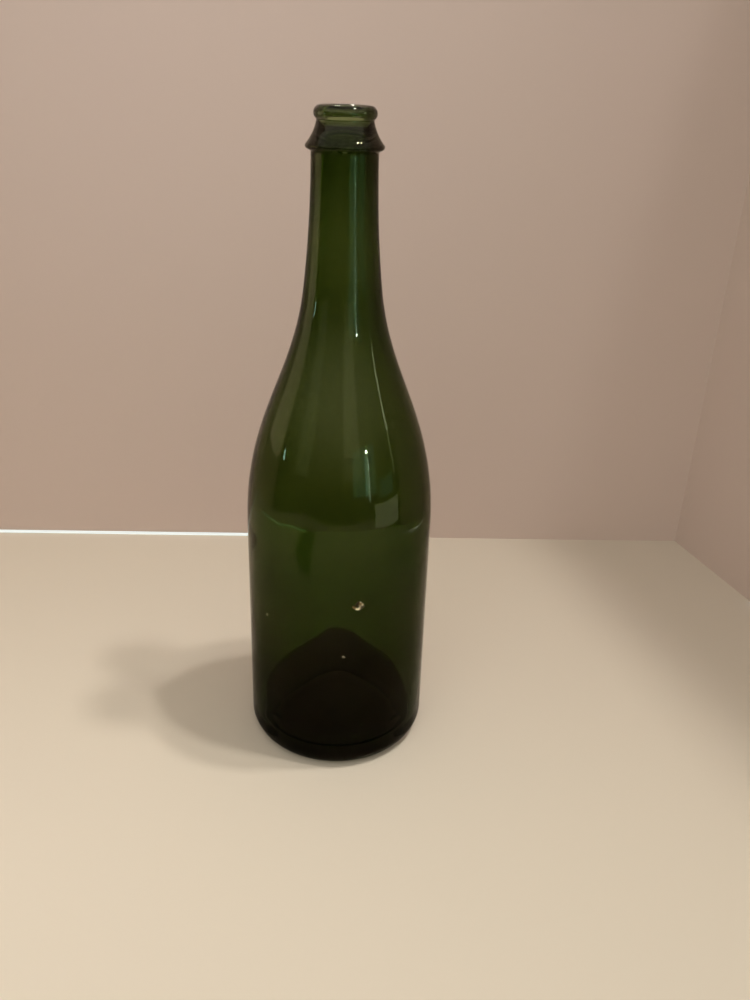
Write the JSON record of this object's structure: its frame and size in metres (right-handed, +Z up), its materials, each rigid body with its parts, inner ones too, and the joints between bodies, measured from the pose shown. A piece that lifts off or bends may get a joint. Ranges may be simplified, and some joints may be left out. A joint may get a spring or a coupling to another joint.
{
  "type": "antique glass bottle",
  "caption": "Slope-shouldered sparkling-wine bottle in dark olive glass with a deep punt, a flared collar and a rounded lip; holds liquid and takes a driven cork.",
  "frame": {"origin": "on the bottle's axis, in the plane of the standing ring", "axes": "+Z up along the bottle's axis towards the mouth, -Y the side with the open blister"},
  "size_m": [0.0892, 0.0892, 0.3],
  "materials": {
    "bottle_glass": "glossy, slightly wavy hand-blown surface",
    "stone_inclusion": "matt, unmelted batch showing in an open blister"
  },
  "bodies": {
    "root": {"blown_body": "bottle_glass", "collar_band": "bottle_glass", "lip_band": "bottle_glass"}
  },
  "joints": []
}
